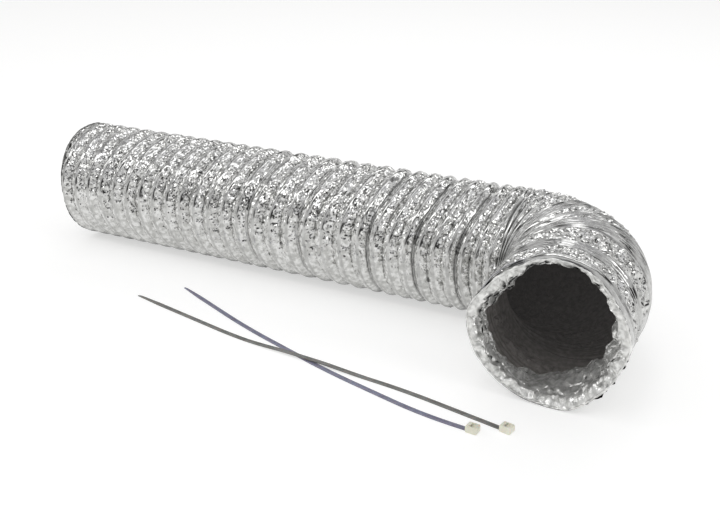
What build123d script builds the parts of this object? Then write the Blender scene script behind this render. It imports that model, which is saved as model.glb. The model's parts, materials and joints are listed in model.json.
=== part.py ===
"""Flexible air duct, 102 mm bore: a spring-steel wire coil laid up between two foil plies.

Frame: millimetres, +Z up. The origin is the centre of the inlet bore, level with the wire's first
turn, one lip inside the end face. The straight run lies along +X, the elbow turns it towards -Y, and
the outlet faces -Y. The duct lies on its side on a floor at z = -outer_radius, with its two cable
ties crossed on the same floor.

The duct is one flexible tube. It is divided along its length into spans, and each span holds its
stretch of the inner ply, of the wire and of the outer ply as three separate solids.
"""
from build123d import *
import os
from math import cos, pi, radians, sin

# Driving dimensions
bore_radius = 51.0            # half of the 102 mm bore, which slips over a 100 mm collar
ply = 0.25                    # thickness of each foil ply
wire_diameter = 1.1
wire_clearance = 0.2          # between the wire and the inner ply
outer_clearance = 0.3         # between the wire and the outer ply
pitch = 14.5                  # from one turn of the wire to the next in the straight run
cuff_turns = 3                # turns at the inlet that stay on the collar
stretch_turns = 3             # turns in each stretch band
bend_turns = 1                # turns in each bend band of the run
run_bands = "SSBSSBSSBSS"     # stretch (S) and bend (B) bands from the inlet to the elbow
elbow_radius = 60.0           # to the duct's centreline
elbow_angle = 90.0
elbow_bands = 5
turns_per_elbow_band = 2
outlet_turns = 4.5
span_gap = 0.15               # half of the parting between one span and the next
span_gap_angle = 0.2          # the same, in the elbow, in degrees
wire_end_gap = 0.3            # half of the parting between two lengths of wire
lip = 1.5                     # foil beyond the wire's first and last turn

# Cable ties
strap_width = 3.6
strap_thickness = 1.0
tip_length = 26.0
tip_width = 1.4
tip_overlap = 0.5             # of the tapered tip into the strap behind it
head_length = 9.5
head_width = 8.4
head_height = 6.0
head_chamfer = 1.5
head_top_chamfer = 0.6
window_width = 4.2            # across the strap
window_length = 2.6           # along the strap
pawl_radius = 0.45
pawl_clearance = 0.1
pawl_finger = [(0, -0.4), (0, 0.4), (-1.1, 1.6), (-1.5, 1.3), (-1.1, 0.6), (-0.7, -0.2)]
crossing_gap = 0.4            # between the lower strap and the one that crosses over it
tie_1_route = [(467, -177.5), (430, -174.5), (345, -152.5), (255, -121.5), (165, -82)]
tie_2_route = [(486.5, -167), (405, -151.5), (262, -139.5), (140, -113)]
tie_1_bends = (300, 700, 700)
tie_2_bends = (500, 420)

# Worked out from the sizes above
wire_radius = bore_radius + ply + wire_clearance + wire_diameter / 2
outer_bore = wire_radius + wire_diameter / 2 + outer_clearance
outer_radius = outer_bore + ply
floor = -outer_radius
band_length = {"S": stretch_turns * pitch, "B": bend_turns * pitch}
run_length = cuff_turns * pitch + sum(band_length[kind] for kind in run_bands)
band_angle = elbow_angle / elbow_bands
turn_angle = band_angle / turns_per_elbow_band
elbow_turns = elbow_bands * turns_per_elbow_band
run_turns = run_length / pitch
total_turns = run_turns + elbow_turns + outlet_turns


def centreline(turns):
    """Point and heading in degrees of the duct's centreline, after that many turns of the wire."""
    if turns <= run_turns:
        return Vector(turns * pitch, 0, 0), 0.0
    angle = min((turns - run_turns) * turn_angle, elbow_angle)
    place = Vector(
        run_length + elbow_radius * sin(radians(angle)),
        elbow_radius * (cos(radians(angle)) - 1),
        0,
    )
    beyond = max(turns - run_turns - elbow_turns, 0) * pitch
    return place + Vector(0, -beyond, 0), -angle


def beside(turns, distance):
    """Point level with the centreline, to its left (the elbow's outer side) for a plus distance."""
    place, heading = centreline(turns)
    return place + Vector(-sin(radians(heading)), cos(radians(heading)), 0) * distance


def half_turn(number, start_trim, end_trim):
    """Half a turn of the wire: a half circle in an upright plane, over the top or under the duct."""
    side = 1 if number % 2 == 0 else -1
    first = beside(number / 2, side * wire_radius)
    last = beside((number + 1) / 2, -side * wire_radius)
    middle = (first + last) * 0.5
    arm = first - middle
    up = Vector(0, 0, arm.length * side)
    low = start_trim / arm.length
    high = pi - end_trim / arm.length

    def at(angle):
        return middle + arm * cos(angle) + up * sin(angle)

    return ThreePointArc(at(low), at((low + high) / 2), at(high))


def wire_length(start, end):
    """The wire from one place to another, both counted in turns from the inlet."""
    first, last = round(start * 2), round(end * 2)
    arcs = [
        half_turn(n, wire_end_gap if n == first else 0, wire_end_gap if n == last - 1 else 0)
        for n in range(first, last)
    ]
    path = Wire([arc.edge() for arc in arcs])
    section = Plane(origin=path @ 0, z_dir=path % 0) * Circle(wire_diameter / 2)
    return sweep(section, path=path)


def foil_sleeve(start, end, radius):
    """A sleeve of foil of that inner radius, from one place to another along the duct."""
    ring = Circle(radius + ply) - Circle(radius)
    pieces = []
    straight_end = min(end, run_turns)
    if start < run_turns:
        low = start * pitch + (span_gap if start > 0 else -lip)
        high = straight_end * pitch - (span_gap if end < run_turns else 0)
        pieces.append(extrude(Plane(origin=(low, 0, 0), z_dir=(1, 0, 0)) * ring, high - low))
    bend_start = max(start - run_turns, 0) * turn_angle
    bend_end = min(end - run_turns, elbow_turns) * turn_angle
    if bend_end > bend_start:
        bend_start += span_gap_angle if start > run_turns else 0
        bend_end -= span_gap_angle if end < run_turns + elbow_turns else 0
        axis = Axis((run_length, -elbow_radius, 0), (0, 0, -1))
        section = Plane(origin=(run_length, 0, 0), z_dir=(1, 0, 0)) * ring
        bend = revolve(section, axis=axis, revolution_arc=bend_end - bend_start)
        pieces.append(bend.rotate(axis, bend_start))
    straight_start = max(start - run_turns - elbow_turns, 0)
    if end > run_turns + elbow_turns:
        place = Vector(run_length + elbow_radius, -elbow_radius - straight_start * pitch, 0)
        length = (end - run_turns - elbow_turns - straight_start) * pitch + lip
        pieces.append(extrude(Plane(origin=place, z_dir=(0, -1, 0)) * ring, length))
    sleeve = pieces[0]
    for piece in pieces[1:]:
        sleeve = sleeve + piece
    return sleeve


def span_table():
    """Each span's name with its two ends, counted in turns from the inlet."""
    stations = [cuff_turns]
    for kind in run_bands:
        stations.append(stations[-1] + band_length[kind] / pitch)
    for _ in range(elbow_bands):
        stations.append(stations[-1] + turns_per_elbow_band)
    names = ["inlet"]
    names += [f"run_{n:02d}" for n in range(1, len(run_bands) + 1)]
    names += [f"elbow_{n}" for n in range(1, elbow_bands)]
    names += ["outlet"]
    ends = [0]
    ends += [(a + b) / 2 for a, b in zip(stations, stations[1:])]
    ends += [total_turns]
    return [(name, ends[n], ends[n + 1]) for n, name in enumerate(names)]


def tie_strap(route, bends, bottom):
    """A flat nylon strap on its route from the head, with a tapered tip."""
    head, *middle, tip = [Vector(x, y) for x, y in route]
    last_run = (tip - middle[-1]).normalized()
    neck = tip - last_run * tip_length
    start = head + (middle[0] - head).normalized() * (head_length / 2)
    path = FilletPolyline(start, *middle, neck, radius=list(bends))
    section = Plane(origin=path @ 0, z_dir=path % 0, x_dir=(0, 0, 1)) * Rectangle(
        strap_thickness, strap_width
    )
    strap = sweep(section, path=path)
    side = Vector(-last_run.Y, last_run.X)
    outline = Polyline(
        neck - last_run * tip_overlap + side * strap_width / 2,
        neck + side * strap_width / 2,
        tip + side * tip_width / 2,
        tip - side * tip_width / 2,
        neck - side * strap_width / 2,
        neck - last_run * tip_overlap - side * strap_width / 2,
        close=True,
    )
    taper = extrude(make_face(outline), strap_thickness / 2, both=True)
    return (strap + taper).moved(Location((0, 0, bottom + strap_thickness / 2)))


def head_place(route, bottom):
    """The head's own frame: +X points away from the strap, +Z up, origin under the head's centre."""
    head, neighbour = Vector(*route[0]), Vector(*route[1])
    outward = (head - neighbour).normalized()
    return Plane(origin=(head.X, head.Y, bottom), x_dir=outward, z_dir=(0, 0, 1)).location


def tie_head(place):
    """The locking head: a chamfered block with a window right through it for the strap's tip."""
    block = extrude(Rectangle(head_length, head_width), head_height)
    block = chamfer(block.edges().filter_by(Axis.Z), head_chamfer)
    block = chamfer(block.faces().sort_by(Axis.Z)[-1].edges(), head_top_chamfer)
    window = extrude(Rectangle(window_length, window_width), head_height)
    groove = Plane.XZ.offset(-window_width / 2) * Pos(window_length / 2, head_height / 2) * Circle(
        pawl_radius + pawl_clearance
    )
    return (block - window - extrude(groove, window_width)).moved(place)


def tie_pawl(place):
    """The pawl that catches the strap's teeth, with its round root in the head's groove."""
    width = window_width - 4 * pawl_clearance
    root = Pos(window_length / 2, head_height / 2) * Circle(pawl_radius)
    finger = Pos(window_length / 2, head_height / 2) * Polygon(*pawl_finger, align=None)
    flat = root + finger
    return extrude(Plane.XZ.offset(-width / 2) * flat, width).moved(place)


def save(node, shape):
    """Write one sub-part as a single closed solid."""
    solids = shape.solids()
    if len(solids) != 1:
        raise ValueError(f"{node} has {len(solids)} solids")
    export_step(solids[0], f"parts/{node}.step")


def main():
    os.makedirs("parts", exist_ok=True)
    for name, start, end in span_table():
        save(f"{name}_inner_foil", foil_sleeve(start, end, bore_radius))
        save(f"{name}_wire", wire_length(start, end))
        save(f"{name}_outer_foil", foil_sleeve(start, end, outer_bore))
    over = strap_thickness + crossing_gap
    ties = [
        ("tie_1", tie_1_route, tie_1_bends, floor),
        ("tie_2", tie_2_route, tie_2_bends, floor + over),
    ]
    for name, route, bends, bottom in ties:
        place = head_place(route, floor)
        save(f"{name}_strap", tie_strap(route, bends, bottom))
        save(f"{name}_head", tie_head(place))
        save(f"{name}_pawl", tie_pawl(place))


main()
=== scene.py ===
"""The looks of the flexible air duct: crumpled foil over a wire coil, and its two cable ties.

Places along the duct are counted in even turns of the wire from the inlet: 0 to 30 on the straight run,
30 to 40 in the elbow and 40 to 44.5 at the outlet. Angles round the duct start at its left and go over
its top.
"""
import json
import math

import bpy
import numpy as np
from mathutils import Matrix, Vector

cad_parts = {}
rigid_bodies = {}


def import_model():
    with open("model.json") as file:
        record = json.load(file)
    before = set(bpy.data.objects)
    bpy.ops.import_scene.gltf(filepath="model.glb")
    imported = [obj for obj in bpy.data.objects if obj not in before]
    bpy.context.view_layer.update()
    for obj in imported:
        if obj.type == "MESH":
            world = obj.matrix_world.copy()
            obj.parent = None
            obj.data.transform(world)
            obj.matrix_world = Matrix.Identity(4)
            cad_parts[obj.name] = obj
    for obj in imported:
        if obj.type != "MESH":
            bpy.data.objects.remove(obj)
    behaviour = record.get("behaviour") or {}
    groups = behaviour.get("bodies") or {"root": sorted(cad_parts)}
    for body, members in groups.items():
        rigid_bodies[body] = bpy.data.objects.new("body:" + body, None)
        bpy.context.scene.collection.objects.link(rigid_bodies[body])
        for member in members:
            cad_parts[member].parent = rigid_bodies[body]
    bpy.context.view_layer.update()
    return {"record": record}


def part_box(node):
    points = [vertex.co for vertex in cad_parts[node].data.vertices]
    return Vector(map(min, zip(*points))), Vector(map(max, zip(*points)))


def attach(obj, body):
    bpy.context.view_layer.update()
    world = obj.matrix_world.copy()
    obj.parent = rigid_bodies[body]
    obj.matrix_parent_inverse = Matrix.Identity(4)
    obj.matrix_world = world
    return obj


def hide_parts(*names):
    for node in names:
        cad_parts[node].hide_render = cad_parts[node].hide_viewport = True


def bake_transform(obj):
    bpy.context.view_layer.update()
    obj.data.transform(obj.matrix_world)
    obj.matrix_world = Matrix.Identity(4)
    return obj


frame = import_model()

# ---------------------------------------------------------------- sizes, in metres
MM = 0.001
PITCH = 14.5 * MM             # one turn of the wire along the straight run
RUN_TURNS = 30
ELBOW_TURNS = 10
OUTLET_TURNS = 4.5
LIP = 1.5 * MM
ELBOW_RADIUS = 60 * MM
ELBOW_ANGLE = math.radians(90)
CUFF_TURNS = 3                # turns at the inlet that stay on the collar
RUN_BANDS = "SSBSSBSSBSS"     # stretch (S) and bend (B) bands from the inlet to the elbow
BAND_TURNS = {"S": 3, "B": 1}
ELBOW_BANDS = 5

low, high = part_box("inlet_outer_foil")
FLOOR = low.z
CREST = (high.z - low.z) / 2 - 0.2 * MM          # the foil over the wire
BORE = frame["record"]["mounts"][0]["dims"]["r_mm"] * MM
WIRE_PATH = BORE + 0.4 * MM                      # radius of the coil to the middle of the wire
WIRE_RADIUS = 0.55 * MM
TOTAL_TURNS = RUN_TURNS + ELBOW_TURNS + OUTLET_TURNS
LIP_TURNS = LIP / PITCH

# The duct's bodies, and the ends of the flexible bands between them
SPANS = ["inlet"]
SPANS += [f"run_{n:02d}" for n in range(1, len(RUN_BANDS) + 1)]
SPANS += [f"elbow_{n}" for n in range(1, ELBOW_BANDS)]
SPANS += ["outlet"]
STATIONS = [CUFF_TURNS]
for kind in RUN_BANDS:
    STATIONS.append(STATIONS[-1] + BAND_TURNS[kind])
for _ in range(ELBOW_BANDS):
    STATIONS.append(STATIONS[-1] + ELBOW_TURNS / ELBOW_BANDS)

INLET_INSET = 6.5 * MM        # of the crumpled foil inside the CAD's end
INLET_TILT = 7 * MM           # how far its top stands out
ENDS = [INLET_INSET / PITCH, *STATIONS, TOTAL_TURNS + LIP_TURNS]

# Between some turns of the wire the foil is pulled in to a smooth groove
GROOVES = (13.5, 16.5, 20.5, 23.5, 26.5)
SHARP_GROOVES = (20.5, 23.5, 26.5)
GROOVE_DEPTH, GROOVE_WIDTH = 1.3 * MM, 3.2 * MM
SHARP_DEPTH, SHARP_WIDTH = 0.6 * MM, 0.8 * MM    # of the sharper line in the middle of a groove
GROOVE_SMOOTHING = 0.9                           # share of the crumples that a groove pulls out
# The wire's turns have slid along the duct. Each of TURNS lies at its place in PLACES, in even turns
GROOVE_PLACES = (13.93, 17.35, 21.93, 24.75, 27.26)
ELBOW_PLACES = (31.0, 32.1, 33.4, 34.2, 35.0, 36.1, 36.8, 37.6, 38.4, 39.2, 39.9, 41.7, 42.5, 43.8)
TURNS = [-4, 0, *GROOVES, 30.15, *[n + 0.15 for n in range(31, 45)], 44.7, 50]
PLACES = [-4, 0, *GROOVE_PLACES, 30.0, *ELBOW_PLACES, 44.6, 49.9]
LEAN = 1.05                   # how far the top of each turn leads along the run, in turns
INLET_LEAN = 0.35             # share of the lean that is left at the inlet
# On the run the foil sinks into a sharp valley between two turns of the wire
VALLEY_DEPTH, VALLEY_VARIETY = 3.0 * MM, 0.6 * MM
VALLEY_SHAPE = 0.8            # an exponent: the lower it is, the sharper the valley
# In the elbow the foil after some turns is crumpled or smooth, and after the others it is pleated
CRUMPLED_TURNS = (28, 29, 30, 31, 32, 35, 37, 41, 43)
SMOOTH_TURNS = (40,)
PLEATS = 3                    # between two turns of the wire
PLEAT_DEPTH, CRUMPLED_DEPTH = 1.3 * MM, 0.5 * MM     # the second is added where it is crumpled
PLEAT_SHAPE = 0.7
STEEPEST_PLEAT = 0.42         # depth of a pleat, as a share of its length
# Crumples: (size of a facet, height), and where they begin and are full
BIG_FACETS = (4.2 * MM, 0.75 * MM)
SMALL_FACETS = (1.9 * MM, 0.6 * MM)
NARROW_FACETS = (2.6 * MM, 1.7 * MM)
NARROWING = 0.35              # of the narrow facets, which are long across the turns
CRUMPLE_FROM_WIRE = (0.7 * MM, 2.6 * MM)
CRUMPLE_GAPS = (4 * MM, 8 * MM)                      # foil between two turns
WIRE_MARK, WIRE_MARK_WIDTH = 0.4 * MM, 0.9 * MM      # the foil's ridge over the wire
SMOOTH_LIMIT = 0.3            # faces less crumpled than this are shaded smooth
# The inner foil
PLY_GAP = 2.7 * MM            # inside the outer foil, so that the wire fits between
EDGE_INSET = 0.3              # turns, of its two edges inside the outer foil's
WALL = 48.4 * MM              # its radius behind the outlet's turned-in foil
FLARE_TURNS = 2.2             # over which the outlet takes its crushed shape

# The outlet's crushed rim: (degrees round it, how far it stands out in mm)
RIM = ((-177, 2), (-150, 0), (-132, -1.5), (-110, -1.5), (-90, -0.5), (-69, 2.7), (-45, 0), (-15, 0.5),
       (5, 4), (35, 2), (60, 3.8), (90, 2), (113, -2.5), (132, -3.5), (150, -2.8), (172, 2.5))
FOLD_COLUMNS, FOLD_ROWS = 360, 40
ROLL = 0.7 * MM               # radius of the foil's roll over the end
ROLL_SHARE = 0.15             # of the fold's rows
FOLD_LENGTH = 30 * MM         # from the end to the torn edge, for laying out the facets
# The torn edge of the turned-in foil: (degrees round it, radius in mm, depth in mm)
OUTLET_FOLD = (
    (-157, 41, 12), (-142, 46, 14), (-120, 46, 20), (-101, 45, 30), (-81, 43, 36), (-52, 40, 34),
    (-26, 38, 26), (0, 40, 18), (22, 46, 12), (43, 51, 8), (72, 53.5, 5), (105, 49.5, 5),
    (133, 37, 8), (157, 40, 10), (179, 46, 12),
)
INLET_FOLD = ((-150, 48, 9), (-90, 49, 6), (-20, 48.5, 8), (40, 49, 6), (110, 48, 10))


# ---------------------------------------------------------------- the duct's centreline
def centreline(turns):
    """Points on the centreline and the level directions to its left, from turns along the duct."""
    turns = np.asarray(turns, float)
    run = np.minimum(turns, RUN_TURNS) * PITCH
    angle = np.clip((turns - RUN_TURNS) / ELBOW_TURNS, 0, 1) * ELBOW_ANGLE
    beyond = np.maximum(turns - RUN_TURNS - ELBOW_TURNS, 0) * PITCH
    x = run + ELBOW_RADIUS * np.sin(angle)
    y = ELBOW_RADIUS * (np.cos(angle) - 1) - beyond
    left = np.stack([np.sin(angle), np.cos(angle), np.zeros_like(angle)], -1)
    return np.stack([x, y, np.zeros_like(x)], -1), left


def tube_points(turns, angle, radius):
    """Points at that angle round the duct (0 to its left, a quarter turn on its top) and radius."""
    middle, left = centreline(turns)
    up = np.array([0, 0, 1.0])
    out = left * np.cos(angle)[..., None] + up * np.sin(angle)[..., None]
    return middle + out * np.asarray(radius)[..., None]


def smooth_step(value, start, end):
    """0 up to the start and 1 from the end on, with a smooth rise between."""
    share = np.clip((value - start) / (end - start), 0, 1)
    return share * share * (3 - 2 * share)


def wire_place(turn, angle):
    """Where a turn of the wire lies along the duct at that angle, in even turns."""
    lean = LEAN * np.maximum(np.sin(angle), 0) ** 2
    lean = lean * (INLET_LEAN + (1 - INLET_LEAN) * smooth_step(turn, 0, 6))
    lean = lean * (1 - smooth_step(turn, RUN_TURNS - 3, RUN_TURNS + 9))
    return np.interp(turn, TURNS, PLACES) + lean


def inlet_end(angle):
    """The slanting inlet end of the foil, in turns."""
    return (INLET_INSET - INLET_TILT * np.maximum(np.sin(angle), 0)) / PITCH


def turn_gap(turn, place, angle):
    """The length of foil from one turn of the wire to the next, at that place and angle."""
    share = np.interp(turn + 0.5, TURNS, PLACES) - np.interp(turn - 0.5, TURNS, PLACES)
    bend = ((place > RUN_TURNS) & (place < RUN_TURNS + ELBOW_TURNS)).astype(float)
    inside = (ELBOW_RADIUS + CREST * np.cos(angle)) * ELBOW_ANGLE / ELBOW_TURNS
    return share * (PITCH * (1 - bend) + inside * bend)


def full_circle(count):
    """That many even angles round the duct."""
    return np.arange(count) / count * 2 * math.pi


def round_the_rim(profile, angle, column):
    """A value from a profile by degrees, at that angle round the duct."""
    degrees = [row[0] for row in profile]
    values = [row[column] for row in profile]
    return np.interp(np.degrees(angle), degrees, values, period=360)


# ---------------------------------------------------------------- crumpled foil
WAVES = 7                                        # added up in one smooth random value
UNEVEN = 0.42                                    # how far a net of facets is warped, in facets


def waves(angle, turns, scale, seed):
    """A smooth random value that closes up round the duct."""
    r = np.random.default_rng(seed)
    value = np.zeros(np.broadcast(angle, turns).shape)
    for _ in range(WAVES):
        around = r.integers(1, max(2, int(6 * scale)))
        along = r.uniform(-1, 1) * 2.2 * scale
        value += np.sin(around * angle + along * turns + r.uniform(0, 2 * math.pi))
    return value / WAVES ** 0.5


def facets(angle, along, size, seed):
    """Flat facets that meet at sharp creases: heights of -1 to 1 on an uneven triangular net."""
    r = np.random.default_rng(seed)
    columns = max(3, round(2 * math.pi * CREST / size))
    x = angle / (2 * math.pi) * columns
    y = along / size
    x = x + UNEVEN * waves(angle, along / PITCH, 3.0, seed + 1)
    y = y + UNEVEN * waves(angle, along / PITCH, 3.0, seed + 2)
    rows = int(np.ceil(y.max() - y.min())) + 4
    heights = r.uniform(-1, 1, (rows, columns))
    split = r.random((rows, columns)) < 0.5
    y = y - np.floor(y.min()) + 1
    i, j = np.floor(y).astype(int), np.floor(x).astype(int)
    fy, fx = y - i, x - j
    j0, j1 = j % columns, (j + 1) % columns
    h00, h10 = heights[i, j0], heights[i, j1]
    h01, h11 = heights[i + 1, j0], heights[i + 1, j1]
    first = np.where(
        fx > fy, h00 + fx * (h10 - h00) + fy * (h11 - h10), h00 + fy * (h01 - h00) + fx * (h11 - h01)
    )
    second = np.where(
        fx + fy < 1,
        h00 + fx * (h10 - h00) + fy * (h01 - h00),
        h11 + (1 - fx) * (h01 - h11) + (1 - fy) * (h10 - h11),
    )
    return np.where(split[i, j0], first, second)


def pleated_radius(phase, place, angle, gap, bent, band):
    """The foil's radius before it is crumpled."""
    off = phase - np.round(phase)
    plain = np.isin(np.floor(phase), SMOOTH_TURNS).astype(float)
    depth = VALLEY_DEPTH + VALLEY_VARIETY * waves(angle, place, 1.2, 31)
    depth = depth * np.clip(gap / PITCH, 0.25, 1)
    valleys = depth * (1 - np.abs(np.cos(math.pi * off)) ** VALLEY_SHAPE)
    count = np.where(band + plain > 0, 1, PLEATS)
    depth = np.minimum(PLEAT_DEPTH + CRUMPLED_DEPTH * band, STEEPEST_PLEAT * gap / count)
    pleats = depth * (1 - np.abs(np.cos(math.pi * off * count)) ** PLEAT_SHAPE)
    pleats = pleats * (1 - smooth_step(place, TOTAL_TURNS - 0.6, TOTAL_TURNS - 0.1))
    return CREST - valleys * (1 - bent) - pleats * bent


def rim_bulge(place, angle):
    """How far the crushed rim stands out near the outlet."""
    flare = smooth_step(place, TOTAL_TURNS - FLARE_TURNS, TOTAL_TURNS)
    return flare * round_the_rim(RIM, angle, 1) * MM


def foil_radius(place, phase, angle):
    """The crumpled foil's radius, and how crumpled it is there.

    On the run rounded lobes lie over the wire, with sharp valleys between. In the elbow the foil between
    two turns of the wire has fine pleats, or it is crumpled or smooth.
    """
    gap = turn_gap(phase + angle / (2 * math.pi), place, angle)
    from_wire = np.abs(phase - np.round(phase)) * gap
    bent = smooth_step(phase, RUN_TURNS - 2.5, RUN_TURNS)
    band = np.isin(np.floor(phase), CRUMPLED_TURNS).astype(float)
    radius = pleated_radius(phase, place, angle, gap, bent, band)
    smooth = np.zeros_like(radius)
    for groove in GROOVES:
        from_groove = (phase - groove) * gap
        near = np.exp(-(from_groove / GROOVE_WIDTH) ** 2)
        radius = radius - GROOVE_DEPTH * near
        if groove in SHARP_GROOVES:
            radius = radius - SHARP_DEPTH * np.exp(-(from_groove / SHARP_WIDTH) ** 2)
        smooth = np.maximum(smooth, near)
    crumple = smooth_step(from_wire, *CRUMPLE_FROM_WIRE) * (1 - GROOVE_SMOOTHING * smooth)
    crumple = crumple * smooth_step(gap, *CRUMPLE_GAPS) * (1 - bent + bent * band)
    along = place * PITCH
    big = BIG_FACETS[1] * (facets(angle, along, BIG_FACETS[0], 11) - 0.25)
    small = SMALL_FACETS[1] * facets(angle, along, SMALL_FACETS[0], 12)
    narrow = NARROW_FACETS[1] * facets(angle, NARROWING * along, NARROW_FACETS[0], 13)
    radius = radius + crumple * (1 - bent) * (big + small)
    radius = radius + crumple * bent * (narrow + small)
    radius = radius + WIRE_MARK * np.exp(-((from_wire / WIRE_MARK_WIDTH) ** 2))
    return radius + rim_bulge(place, angle), crumple


# ---------------------------------------------------------------- the foil as a helical net
FIRST_TURN, LAST_TURN = -4, 49                   # the net goes beyond both ends of the duct
JITTER = 0.3                                     # of the net's points, in rows
STILL_TURNS = 0.12                               # beside the wire, where no point is moved


def triangles(a, b, c, d, anti):
    """Two triangles for each square a b d c, cut from b to c where anti is true, or else from a to d."""
    anti = anti[:, None]
    lower = np.where(anti, np.stack([a, b, c], 1), np.stack([a, b, d], 1))
    upper = np.where(anti, np.stack([c, b, d], 1), np.stack([a, d, c], 1))
    return np.concatenate([lower, upper])


class Skin:
    """A net whose rows follow the wire's turns, cut into pieces at the stations."""

    def __init__(self, rows_per_turn, columns, seed):
        r = np.random.default_rng(seed)
        self.rows_per_turn, self.columns = rows_per_turn, columns
        self.rows = (LAST_TURN - FIRST_TURN) * rows_per_turn
        i, _ = np.meshgrid(np.arange(self.rows), np.arange(columns), indexing="ij")
        self.angle = np.broadcast_to(full_circle(columns), i.shape)
        self.phase = FIRST_TURN + i / rows_per_turn
        turn = self.phase + self.angle / (2 * math.pi)
        self.place = wire_place(turn, self.angle)
        step = np.gradient(self.place, axis=0)
        self.cuts = []
        free = np.abs(self.phase - np.round(self.phase)) > STILL_TURNS
        free = free * smooth_step(turn_gap(turn, self.place, self.angle), 7 * MM, 11 * MM)
        across = np.arange(columns)
        ends = [inlet_end(self.angle[0]), *ENDS[1:]]
        for end in ends:
            row = np.abs(self.place - end).argmin(0)
            self.cuts.append(row)
        self.place = self.place + free * step * r.uniform(-JITTER, JITTER, step.shape)
        for row, end in zip(self.cuts, ends):
            self.place[row, across] = end
        self.side = r.random((self.rows, columns)) < 0.5

    def faces(self):
        """Every triangle of the net, with the diagonals along the cuts' lines."""
        n = self.columns
        rows = self.rows - 1 - self.rows_per_turn
        i, j = np.meshgrid(np.arange(rows), np.arange(n), indexing="ij")
        i, j = i.ravel(), j.ravel()
        wrap = j + 1 == n
        i_next = np.where(wrap, i + self.rows_per_turn, i)
        j_next = np.where(wrap, 0, j + 1)
        anti = self.side[i, j]
        for row in self.cuts:
            anti = anti | ((row[j] == i + 1) & (row[j_next] == i_next))
        for row in self.cuts:
            anti = anti & ~((row[j] == i) & (row[j_next] == i_next + 1))
        a, b = i * n + j, i_next * n + j_next
        c, d = (i + 1) * n + j, (i_next + 1) * n + j_next
        return triangles(a, b, c, d, anti)

    def pieces(self, points, crumple):
        """(points, triangles, which are smooth, places) of each piece between two cuts."""
        faces = self.faces()
        row, column = faces // self.columns, faces % self.columns
        flat, places = points.reshape(-1, 3), self.place.ravel()
        smooth = crumple.ravel()[faces].mean(1) < SMOOTH_LIMIT
        for low_cut, high_cut in zip(self.cuts, self.cuts[1:]):
            inside = ((row >= low_cut[column]) & (row <= high_cut[column])).all(1)
            mine = faces[inside]
            used, index = np.unique(mine, return_inverse=True)
            yield flat[used], index.reshape(-1, 3), smooth[inside], places[used]


def new_object(name, points, faces):
    """A flat-shaded mesh object from lists of points and faces."""
    mesh = bpy.data.meshes.new(name)
    mesh.from_pydata(points, [], faces)
    obj = bpy.data.objects.new(name, mesh)
    bpy.context.scene.collection.objects.link(obj)
    return obj


def net_object(name, points, faces, smooth=False):
    """A mesh object from numpy points and triangles or quads, some or all of them shaded smooth."""
    obj = new_object(name, np.asarray(points).tolist(), np.asarray(faces).tolist())
    polygons = obj.data.polygons
    polygons.foreach_set("use_smooth", np.full(len(polygons), smooth))
    return obj


def follow(obj, number):
    """The two end pieces ride on the inlet and the outlet; the span pieces between only have their
    transforms baked into their meshes.
    """
    if number == 0:
        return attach(obj, "inlet")
    if number == len(STATIONS):
        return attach(obj, "outlet")
    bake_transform(obj)
    return obj


# ---------------------------------------------------------------- materials
def new_material(name):
    """A material with its nodes, its links and its shader."""
    material = bpy.data.materials.new(name)
    material.use_nodes = True
    tree = material.node_tree
    return material, tree.nodes, tree.links, tree.nodes["Principled BSDF"]


def noise(nodes, links, scale, detail):
    """Cloudy noise in the object's own metres."""
    place = nodes.new("ShaderNodeTexCoord")
    cloud = nodes.new("ShaderNodeTexNoise")
    cloud.inputs["Scale"].default_value = scale
    cloud.inputs["Detail"].default_value = detail
    links.new(place.outputs["Object"], cloud.inputs["Vector"])
    return cloud


def ramp(nodes, links, source, stops):
    """A colour ramp of (position, colour) stops."""
    node = nodes.new("ShaderNodeValToRGB")
    elements = node.color_ramp.elements
    while len(elements) < len(stops):
        elements.new(0.5)
    for element, (position, color) in zip(elements, stops):
        element.position = position
        element.color = (*color, 1)
    links.new(source, node.inputs["Fac"])
    return node


CREASES, GRAIN, PATCHES = 380, 160, 240          # scales of the foil's fine marks, per metre
CREASE_REACH = 13 * MM                           # how far the foil looks for what shades it
DEEP_SHADE = 0.1                                 # brightness of the foil in its deepest creases


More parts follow.
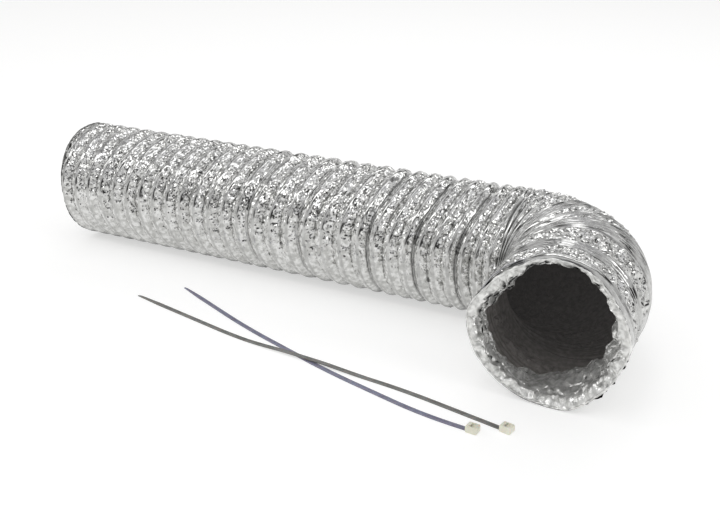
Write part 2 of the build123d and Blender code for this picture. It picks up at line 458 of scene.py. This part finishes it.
def foil_material(name, dull, bright, roughness, bump_distance, metallic=1.0, shaded=(0.12, 0.55)):
    """Foil with fine creases and dull patches, and painted shade: its colour is darkened where it sees
    little open air, in creases, grooves and near the floor.

    shaded holds the two shares of open air between which it goes from its darkest to its brightest.
    """
    material, nodes, links, shader = new_material(name)
    place = nodes.new("ShaderNodeTexCoord")
    shader.inputs["Metallic"].default_value = metallic
    cells = nodes.new("ShaderNodeTexVoronoi")
    cells.feature = "DISTANCE_TO_EDGE"
    cells.inputs["Scale"].default_value = CREASES
    links.new(place.outputs["Object"], cells.inputs["Vector"])
    cloud = noise(nodes, links, GRAIN, 6)
    patches = noise(nodes, links, PATCHES, 4)
    tint = ramp(nodes, links, patches.outputs["Fac"], ((0.38, dull), (0.62, bright)))
    # Painted shade: ambient occlusion darkens the base colour where the foil sees little open air
    open_air = nodes.new("ShaderNodeAmbientOcclusion")
    open_air.samples = 6
    open_air.inputs["Distance"].default_value = CREASE_REACH
    stops = ((shaded[0], (DEEP_SHADE,) * 3), (shaded[1], (1, 1, 1)))
    shade = ramp(nodes, links, open_air.outputs["AO"], stops)
    tint_with_painted_shade = nodes.new("ShaderNodeMix")
    tint_with_painted_shade.data_type = "RGBA"
    tint_with_painted_shade.blend_type = "MULTIPLY"
    tint_with_painted_shade.inputs["Factor"].default_value = 1
    links.new(tint.outputs["Color"], tint_with_painted_shade.inputs["A"])
    links.new(shade.outputs["Color"], tint_with_painted_shade.inputs["B"])
    links.new(tint_with_painted_shade.outputs["Result"], shader.inputs["Base Color"])
    mixed = nodes.new("ShaderNodeMath")
    mixed.operation = "ADD"
    links.new(cells.outputs["Distance"], mixed.inputs[0])
    links.new(cloud.outputs["Fac"], mixed.inputs[1])
    bump = nodes.new("ShaderNodeBump")
    bump.inputs["Strength"].default_value = 0.35
    bump.inputs["Distance"].default_value = bump_distance
    links.new(mixed.outputs[0], bump.inputs["Height"])
    links.new(bump.outputs["Normal"], shader.inputs["Normal"])
    spread = nodes.new("ShaderNodeMapRange")
    spread.inputs["To Min"].default_value = roughness * 0.6
    spread.inputs["To Max"].default_value = roughness * 1.5
    links.new(cloud.outputs["Fac"], spread.inputs["Value"])
    links.new(spread.outputs["Result"], shader.inputs["Roughness"])
    return material


def nylon_material(name, dark, light, roughness):
    """Moulded nylon, a little cloudy, with a fine moulded grain."""
    material, nodes, links, shader = new_material(name)
    cloud = noise(nodes, links, 120, 4)
    tint = ramp(nodes, links, cloud.outputs["Fac"], ((0.35, dark), (0.65, light)))
    links.new(tint.outputs["Color"], shader.inputs["Base Color"])
    shader.inputs["Subsurface Weight"].default_value = 0.15
    shader.inputs["Subsurface Scale"].default_value = 1.5 * MM
    grain = noise(nodes, links, 1800, 2)
    bump = nodes.new("ShaderNodeBump")
    bump.inputs["Strength"].default_value = 0.15
    bump.inputs["Distance"].default_value = 0.05 * MM
    links.new(grain.outputs["Fac"], bump.inputs["Height"])
    links.new(bump.outputs["Normal"], shader.inputs["Normal"])
    spread = nodes.new("ShaderNodeMapRange")
    spread.inputs["To Min"].default_value = roughness * 0.8
    spread.inputs["To Max"].default_value = roughness * 1.3
    links.new(cloud.outputs["Fac"], spread.inputs["Value"])
    links.new(spread.outputs["Result"], shader.inputs["Roughness"])
    return material


outer_material = foil_material(
    "bright_foil", (0.48, 0.48, 0.465), (0.74, 0.74, 0.73), 0.10, 0.13 * MM, shaded=(0.2, 0.68)
)
pleated_material = foil_material(
    "pleated_foil", (0.42, 0.42, 0.41), (0.56, 0.56, 0.55), 0.12, 0.04 * MM, shaded=(0.25, 0.75)
)
fold_material = foil_material(
    "folded_foil", (0.54, 0.54, 0.525), (0.86, 0.86, 0.84), 0.22, 0.15 * MM, 0.55, (0.2, 0.7)
)
inner_material = foil_material(
    "dull_inner_foil", (0.15, 0.14, 0.13), (0.21, 0.195, 0.185), 0.8, 0.2 * MM, 0.0
)
# Painted light: the inner foil glows faintly, as if light came through the foil into the duct
inner_shader = inner_material.node_tree.nodes["Principled BSDF"]
inner_shader.inputs["Specular IOR Level"].default_value = 0.08
inner_shader.inputs["Emission Color"].default_value = (1.0, 0.98, 0.97, 1)
inner_shader.inputs["Emission Strength"].default_value = 0.014
wire_material = foil_material("spring_wire", (0.4, 0.4, 0.42), (0.55, 0.55, 0.56), 0.3, 0.02 * MM)
strap_materials = {
    "tie_1": nylon_material("bluish_nylon", (0.17, 0.17, 0.235), (0.24, 0.24, 0.32), 0.35),
    "tie_2": nylon_material("grey_nylon", (0.15, 0.15, 0.14), (0.22, 0.22, 0.21), 0.35),
}
head_material = nylon_material("cream_nylon", (0.72, 0.71, 0.58), (0.83, 0.82, 0.70), 0.4)


# ---------------------------------------------------------------- the outer and inner foil
def make_foil(kind, skin, radius, crumple, materials):
    """One ply's pieces: crumpled faces wear the first material and smooth ones the second."""
    points = tube_points(skin.place, skin.angle, radius)
    for number, (verts, faces, smooth, places) in enumerate(skin.pieces(points, crumple)):
        obj = net_object(f"{kind}_{number:02d}", verts, faces, smooth)
        for material in materials:
            obj.data.materials.append(material)
        obj.data.polygons.foreach_set("material_index", smooth.astype(np.int32))
        follow(obj, number)
        if number < len(SPANS):
            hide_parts(f"{SPANS[number]}_{kind}")


def make_outer_foil():
    """The outer ply, which is crumpled, pleated or smooth from one turn of the wire to the next."""
    skin = Skin(22, 240, 3)
    radius, crumple = foil_radius(skin.place, skin.phase, skin.angle)
    make_foil("outer_foil", skin, radius, crumple, (outer_material, pleated_material))


def make_inner_foil():
    """The inner ply, which is pulled out behind the outlet's turned-in foil."""
    skin = Skin(11, 144, 4)
    skin.place = skin.place + EDGE_INSET * (1 - smooth_step(skin.place, 0, 2))
    skin.place = skin.place - EDGE_INSET * smooth_step(skin.place, TOTAL_TURNS - 2, TOTAL_TURNS)
    radius, crumple = foil_radius(skin.place, skin.phase, skin.angle)
    radius = radius - PLY_GAP
    near_mouth = smooth_step(skin.place, TOTAL_TURNS - 3, TOTAL_TURNS - 2)
    wall = WALL + rim_bulge(skin.place, skin.angle)
    radius = radius + near_mouth * np.maximum(wall - radius, 0)
    make_foil("inner_foil", skin, radius, crumple, (inner_material, inner_material))


make_outer_foil()
make_inner_foil()


# ---------------------------------------------------------------- the turned-in foil at each end
def fold_points(at, inward, fold, bulge, seed):
    """The turned-in foil's points, row by row from the end of the duct to the torn edge."""
    i, _ = np.meshgrid(np.arange(FOLD_ROWS), np.arange(FOLD_COLUMNS), indexing="ij")
    angle = np.broadcast_to(full_circle(FOLD_COLUMNS), i.shape)
    share = i / (FOLD_ROWS - 1)
    even = np.clip((share - ROLL_SHARE) / (1 - ROLL_SHARE), 0, 1)
    tail = smooth_step(share, ROLL_SHARE, 1.0) * 0.5 + even * 0.5
    edge = round_the_rim(fold, angle, 1) * MM + 1.2 * MM * waves(angle, 0 * angle, 3, seed)
    depth = round_the_rim(fold, angle, 2) * MM + 1.2 * MM * waves(angle, 0 * angle, 7, seed + 1)
    # First a roll over the end, then close in front of the inner foil, then away from it to the edge
    roll = np.clip(share / ROLL_SHARE, 0, 1) * math.pi
    rim = CREST + bulge
    behind = np.maximum(WALL - 1.6 * MM + bulge, edge)
    radius = rim - ROLL * (1 - np.cos(roll))
    radius = radius + (behind - (rim - 2 * ROLL)) * smooth_step(share, ROLL_SHARE, 0.33)
    radius = radius + (edge - behind) * tail
    reach = -ROLL * np.sin(roll) + np.maximum(depth, 3 * MM) * tail
    # Crumples in both directions, which die out at the edge
    crumple = (0.7 + 0.3 * smooth_step(share, 0.05, 0.5)) * (1 - 0.6 * smooth_step(share, 0.85, 1))
    loose = smooth_step(share, 0.14, 0.3)
    along = share * FOLD_LENGTH
    wrinkle = 0.9 * MM * facets(angle, along, 4.6 * MM, seed + 2)
    small = 0.55 * MM * facets(angle, along, 2.1 * MM, seed + 3)
    pleat = 1.2 * MM * np.abs(np.sin(angle * 5 + 2 * waves(angle, share, 1, seed + 4))) ** 2
    radius = radius + crumple * (wrinkle * loose + small - pleat * share)
    reach = reach + crumple * loose * 2.8 * MM * facets(angle, along, 3.2 * MM, seed + 5)
    return tube_points(at + inward * reach / PITCH, angle, radius)


def make_fold(name, body, at, inward, fold, bulge, seed):
    """Foil rolled over the end of the duct and pushed into the bore, with a torn edge.

    at is the end's place, inward is the way into the duct, and bulge is how far the rim stands out.
    """
    points = fold_points(at, inward, fold, bulge, seed).reshape(-1, 3)
    i, j = np.meshgrid(np.arange(FOLD_ROWS - 1), np.arange(FOLD_COLUMNS), indexing="ij")
    a = (i * FOLD_COLUMNS + j).ravel()
    b = (i * FOLD_COLUMNS + (j + 1) % FOLD_COLUMNS).ravel()
    anti = np.random.default_rng(seed).random(a.size) < 0.5
    obj = net_object(name, points, triangles(a, b, a + FOLD_COLUMNS, b + FOLD_COLUMNS, anti))
    obj.data.materials.append(fold_material)
    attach(obj, body)


circle = full_circle(FOLD_COLUMNS)
outlet_bulge = round_the_rim(RIM, circle, 1) * MM
make_fold("outlet_fold", "outlet", ENDS[-1], -1, OUTLET_FOLD, outlet_bulge, 50)
make_fold("inlet_fold", "inlet", inlet_end(circle), 1, INLET_FOLD, 0, 60)


# ---------------------------------------------------------------- the wire
def make_wire():
    """The coil, cut into one piece for each piece of foil."""
    sides = 6
    per_turn = 28
    turn = np.arange(0, TOTAL_TURNS, 1 / per_turn)
    angle = 2 * math.pi * turn
    place = np.clip(wire_place(turn, angle), inlet_end(angle) + 0.1, TOTAL_TURNS)
    path = tube_points(place, angle, np.full(turn.shape, WIRE_PATH))
    tangent = np.gradient(path, axis=0)
    tangent /= np.linalg.norm(tangent, axis=1)[:, None]
    middle, _ = centreline(place)
    out = path - middle
    out /= np.linalg.norm(out, axis=1)[:, None]
    side = np.cross(tangent, out)
    spin = np.arange(sides) / sides * 2 * math.pi
    ring = out[:, None] * np.cos(spin)[None, :, None] + side[:, None] * np.sin(spin)[None, :, None]
    points = path[:, None] + WIRE_RADIUS * ring
    owner = np.searchsorted(STATIONS, place, side="right")
    for number in range(len(STATIONS) + 1):
        mine = np.flatnonzero(owner == number)
        breaks = np.flatnonzero(np.diff(mine) > 1) + 1
        verts, faces, places = [], [], []
        for stretch in np.split(mine, breaks):
            if stretch[-1] + 1 < len(turn):
                stretch = np.append(stretch, stretch[-1] + 1)
            base = len(places)
            verts.extend(points[stretch].reshape(-1, 3))
            places.extend(np.repeat(place[stretch], sides))
            for i in range(len(stretch) - 1):
                for j in range(sides):
                    k = (j + 1) % sides
                    row, after = base + i * sides, base + (i + 1) * sides
                    faces.append((row + j, row + k, after + k, after + j))
        obj = net_object(f"wire_{number:02d}", verts, faces, smooth=True)
        obj.data.materials.append(wire_material)
        follow(obj, number)
        if number < len(SPANS):
            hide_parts(f"{SPANS[number]}_wire")


make_wire()

# ---------------------------------------------------------------- the cable ties
STRAP_WIDTH, STRAP_THICKNESS = 3.6 * MM, 1.0 * MM
TIP_LENGTH, TIP_WIDTH = 26 * MM, 1.4 * MM
TIP_THICKNESS = 0.45          # share of the strap's thickness at its very end
TOOTH, TOOTH_DEPTH = 1.1 * MM, 0.3 * MM
TEETH_START, TEETH_END = 16 * MM, 30 * MM        # from the head, and from the tip
HEAD_LENGTH, HEAD_WIDTH, HEAD_HEIGHT = 8.2 * MM, 7.3 * MM, 4.9 * MM
HEAD_CORNER = 0.6 * MM
WINDOW_LENGTH, WINDOW_WIDTH = 2.6 * MM, 4.2 * MM
# Each tie's route on the floor from its head to its tip, and the radius of each bend, in mm
TIES = {
    "tie_1": (
        [(467, -177.5), (430, -174.5), (345, -152.5), (255, -121.5), (165, -82)],
        (300, 700, 700),
    ),
    "tie_2": (
        [(486.5, -167), (405, -151.5), (262, -139.5), (140, -113)],
        (500, 420),
    ),
}
CROSSING = (321.8 * MM, -144.5 * MM)
HUMP = 1.4 * MM               # how far the upper tie rises there
HUMP_TOP, HUMP_FOOT = 9 * MM, 60 * MM            # distances from the crossing
ARC_STEPS = 24


def strap_path(route, bends):
    """Points every quarter of a tooth, and how far along they are, on a route with curved corners."""
    corners = [Vector((x * MM, y * MM, 0)) for x, y in route]
    points = [corners[0]]
    for before, corner, after, bend in zip(corners, corners[1:], corners[2:], bends):
        into, away = (corner - before).normalized(), (after - corner).normalized()
        turn = into.angle(away)
        cut = bend * MM * math.tan(turn / 2)
        start, end = corner - into * cut, corner + away * cut
        for n in range(ARC_STEPS + 1):
            t = n / ARC_STEPS
            points.append(start * (1 - t) ** 2 + corner * 2 * t * (1 - t) + end * t ** 2)
    points.append(corners[-1])
    path = np.array(points)
    steps = np.concatenate([[0], np.cumsum(np.linalg.norm(np.diff(path, axis=0), axis=1))])
    wanted = np.arange(0, steps[-1], TOOTH / 4)
    return np.stack([np.interp(wanted, steps, path[:, k]) for k in range(3)], 1), wanted


# A strap's section: (share of the half width, share of the thickness or None for the toothed groove)
STRAP_SECTION = (
    (-1, 0.18), (-0.93, 0), (0.93, 0), (1, 0.18), (1, 0.82), (0.93, 1), (0.62, 1),
    (0.55, None), (-0.55, None), (-0.62, 1), (-0.93, 1), (-1, 0.82),
)


def make_strap(tie):
    """A toothed strip with two smooth edge rails, humped where it crosses the other tie."""
    route, bends = TIES[tie]
    path, along = strap_path(route, bends)
    tangent = np.gradient(path, axis=0)
    tangent /= np.linalg.norm(tangent, axis=1)[:, None]
    side = np.stack([-tangent[:, 1], tangent[:, 0], 0 * along], 1)
    to_tip = along[-1] - along
    width = np.interp(to_tip, [0, TIP_LENGTH], [TIP_WIDTH, STRAP_WIDTH]) / 2
    thick = STRAP_THICKNESS * np.interp(to_tip, [0, 4 * MM], [TIP_THICKNESS, 1])
    lift = 0 * along
    if tie == "tie_2":
        away = np.hypot(path[:, 0] - CROSSING[0], path[:, 1] - CROSSING[1])
        lift = HUMP * (1 - smooth_step(away, HUMP_TOP, HUMP_FOOT))
    tooth = (along / TOOTH) % 1
    toothed = smooth_step(along, TEETH_START, TEETH_START + 2 * MM)
    toothed = toothed * smooth_step(to_tip, TEETH_END, TEETH_END + 4 * MM)
    groove = thick - TOOTH_DEPTH * toothed * (0.35 + 0.65 * tooth)
    rows = []
    for across, height in STRAP_SECTION:
        z = groove if height is None else thick * height
        rows.append(path + side * (width * across)[:, None] + np.stack([0 * z, 0 * z, FLOOR + lift + z], 1))
    points = np.stack(rows, 1)
    n, m = points.shape[:2]
    faces = [
        (i * m + j, i * m + (j + 1) % m, (i + 1) * m + (j + 1) % m, (i + 1) * m + j)
        for i in range(n - 1) for j in range(m)
    ]
    faces.append(tuple(range(m))[::-1])
    faces.append(tuple((n - 1) * m + j for j in range(m)))
    obj = new_object(f"{tie}_band", points.reshape(-1, 3).tolist(), faces)
    obj.data.materials.append(strap_materials[tie])
    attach(obj, tie)
    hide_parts(f"{tie}_strap")


def eight_corners(length, width, corner):
    """The corners of a rectangle with cut corners, anticlockwise from its right side."""
    x, y = length / 2, width / 2
    return [
        (x, -y + corner), (x, y - corner), (x - corner, y), (-x + corner, y),
        (-x, y - corner), (-x, -y + corner), (-x + corner, -y), (x - corner, -y),
    ]


def make_head(tie):
    """The locking head: a rounded block with a window right through it, funnelled at the top."""
    (hx, hy), (nx, ny) = TIES[tie][0][:2]
    out = Vector((hx - nx, hy - ny, 0)).normalized()
    across = Vector((-out.y, out.x, 0))
    # (length, width, corner, height) of each loop, up the outside and down through the window
    loops = [
        (HEAD_LENGTH - 0.8 * MM, HEAD_WIDTH - 0.8 * MM, HEAD_CORNER - 0.2 * MM, 0),
        (HEAD_LENGTH - 0.2 * MM, HEAD_WIDTH - 0.2 * MM, HEAD_CORNER, 0.25 * MM),
        (HEAD_LENGTH, HEAD_WIDTH, HEAD_CORNER, 0.7 * MM),
        (HEAD_LENGTH, HEAD_WIDTH, HEAD_CORNER, HEAD_HEIGHT - 1.4 * MM),
        (HEAD_LENGTH - 0.2 * MM, HEAD_WIDTH - 0.2 * MM, HEAD_CORNER, HEAD_HEIGHT - 0.4 * MM),
        (HEAD_LENGTH - 0.9 * MM, HEAD_WIDTH - 0.9 * MM, HEAD_CORNER, HEAD_HEIGHT - 0.05 * MM),
        (HEAD_LENGTH - 1.8 * MM, HEAD_WIDTH - 1.8 * MM, HEAD_CORNER, HEAD_HEIGHT),
        (WINDOW_LENGTH + 0.2 * MM, WINDOW_WIDTH + 0.2 * MM, 0.3 * MM, HEAD_HEIGHT - 0.05 * MM),
        (WINDOW_LENGTH, WINDOW_WIDTH, 0.15 * MM, HEAD_HEIGHT - 0.7 * MM),
        (WINDOW_LENGTH, WINDOW_WIDTH, 0.15 * MM, 0.3 * MM),
    ]
    points, faces = [], []
    for length, width, corner, height in loops:
        for x, y in eight_corners(length, width, corner):
            points.append(Vector((hx * MM, hy * MM, FLOOR + height)) + out * x + across * y)
    for k in range(len(loops)):
        here, there = k * 8, (k + 1) % len(loops) * 8
        for j in range(8):
            faces.append((here + j, here + (j + 1) % 8, there + (j + 1) % 8, there + j))
    obj = new_object(f"{tie}_lock", points, faces)
    obj.data.materials.append(head_material)
    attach(obj, tie)
    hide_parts(f"{tie}_head")


for tie in TIES:
    make_strap(tie)
    make_head(tie)
# The pawls show the CAD's own meshes, in the head's nylon
for obj in list(bpy.data.objects):
    if obj.name.endswith("_pawl") and obj.type == "MESH":
        obj.data.materials.clear()
        obj.data.materials.append(head_material)

# ---------------------------------------------------------------- floor, light and camera
FLOOR_REACH = 12.0


def make_floor():
    """White paper, which gives some light of its own so that it looks as bright as a lit backdrop."""
    r = FLOOR_REACH
    corners = [(-r, -r, FLOOR), (r, -r, FLOOR), (r, r, FLOOR), (-r, r, FLOOR)]
    floor = new_object("floor", corners, [(0, 1, 2, 3)])
    material, _, _, shader = new_material("floor_paper")
    shader.inputs["Base Color"].default_value = (0.50, 0.50, 0.50, 1)
    shader.inputs["Roughness"].default_value = 0.95
    shader.inputs["Specular IOR Level"].default_value = 0.0
    shader.inputs["Emission Color"].default_value = (1, 1, 0.99, 1)
    shader.inputs["Emission Strength"].default_value = 0.58
    floor.data.materials.append(material)


LAMP_TARGET = (0.25, 0.0, 0.0)
# (name, place, size, power in watts)
LAMPS = (
    ("overhead", (0.2, 0.0, 1.7), (1.4, 0.45), 3),
    ("front_strip", (0.3, -1.3, 1.7), (1.6, 0.35), 5),
    ("back_strip", (0.2, 1.3, 1.3), (1.6, 0.25), 3),
    ("left_key", (-1.3, -0.7, 1.1), (0.4, 0.8), 3),
    ("right_fill", (1.8, -0.4, 0.9), (0.4, 0.8), 3),
)


def make_lamp(name, place, size, power):
    """A soft rectangular lamp that faces the duct."""
    data = bpy.data.lights.new(name, "AREA")
    data.shape = "RECTANGLE"
    data.size, data.size_y = size
    data.energy = power
    lamp = bpy.data.objects.new(name, data)
    lamp.location = place
    lamp.rotation_euler = (Vector(LAMP_TARGET) - Vector(place)).to_track_quat("-Z", "Y").to_euler()
    bpy.context.scene.collection.objects.link(lamp)


# The studio that the foil reflects: white with dark bands, from straight down (0) to straight up (1).
# The near side is the front right, towards the camera and past the outlet.
NEAR_SIDE = (
    (0.0, (0.45, 0.45, 0.45)), (0.08, (0.02, 0.018, 0.016)), (0.22, (0.03, 0.03, 0.035)),
    (0.29, (0.88, 0.88, 0.89)), (0.55, (0.84, 0.84, 0.85)), (0.60, (0.02, 0.018, 0.016)),
    (0.70, (0.03, 0.03, 0.032)), (0.75, (1.0, 1.0, 1.0)), (1.0, (0.72, 0.72, 0.74)),
)
FAR_SIDE = (
    (0.0, (0.80, 0.80, 0.80)), (0.37, (0.78, 0.78, 0.78)), (0.42, (0.02, 0.02, 0.024)),
    (0.52, (0.03, 0.028, 0.025)), (0.57, (1.0, 1.0, 1.0)), (0.80, (0.86, 0.86, 0.87)),
    (0.86, (0.04, 0.036, 0.032)), (0.93, (0.70, 0.70, 0.72)),
)
NEAR_DIRECTION = (0.75, -0.66, 0)
NEAR_SHARE, FAR_SHARE = 0.45, 0.15               # how far towards it only one side is seen


def make_world():
    """The two sides' ramps by height, blended by direction."""
    world = bpy.data.worlds.new("studio")
    bpy.context.scene.world = world
    world.use_nodes = True
    nodes, links = world.node_tree.nodes, world.node_tree.links
    place = nodes.new("ShaderNodeTexCoord")
    split = nodes.new("ShaderNodeSeparateXYZ")
    links.new(place.outputs["Generated"], split.inputs[0])
    near_side = ramp(nodes, links, split.outputs["Z"], NEAR_SIDE)
    far_side = ramp(nodes, links, split.outputs["Z"], FAR_SIDE)
    toward = nodes.new("ShaderNodeVectorMath")
    toward.operation = "DOT_PRODUCT"
    toward.inputs[1].default_value = NEAR_DIRECTION
    links.new(place.outputs["Generated"], toward.inputs[0])
    facing = nodes.new("ShaderNodeMapRange")
    facing.inputs["From Min"].default_value = NEAR_SHARE
    facing.inputs["From Max"].default_value = FAR_SHARE
    links.new(toward.outputs["Value"], facing.inputs["Value"])
    both = nodes.new("ShaderNodeMix")
    both.data_type = "RGBA"
    links.new(facing.outputs["Result"], both.inputs["Factor"])
    links.new(near_side.outputs["Color"], both.inputs["A"])
    links.new(far_side.outputs["Color"], both.inputs["B"])
    links.new(both.outputs["Result"], nodes["Background"].inputs["Color"])
    nodes["Background"].inputs["Strength"].default_value = 1.0


def make_camera():
    """The photo's camera: above the floor, turned to the left and tilted down."""
    data = bpy.data.cameras.new("camera")
    data.sensor_width = 36
    data.lens = 47.3
    camera = bpy.data.objects.new("camera", data)
    camera.location = (0.642, -0.673, FLOOR + 0.339)
    camera.rotation_euler = (math.radians(90 - 22.8), 0, math.radians(27.4))
    bpy.context.scene.collection.objects.link(camera)
    bpy.context.scene.camera = camera
    bpy.context.scene.view_settings.view_transform = "Standard"


make_floor()
for lamp in LAMPS:
    make_lamp(*lamp)
make_world()
make_camera()
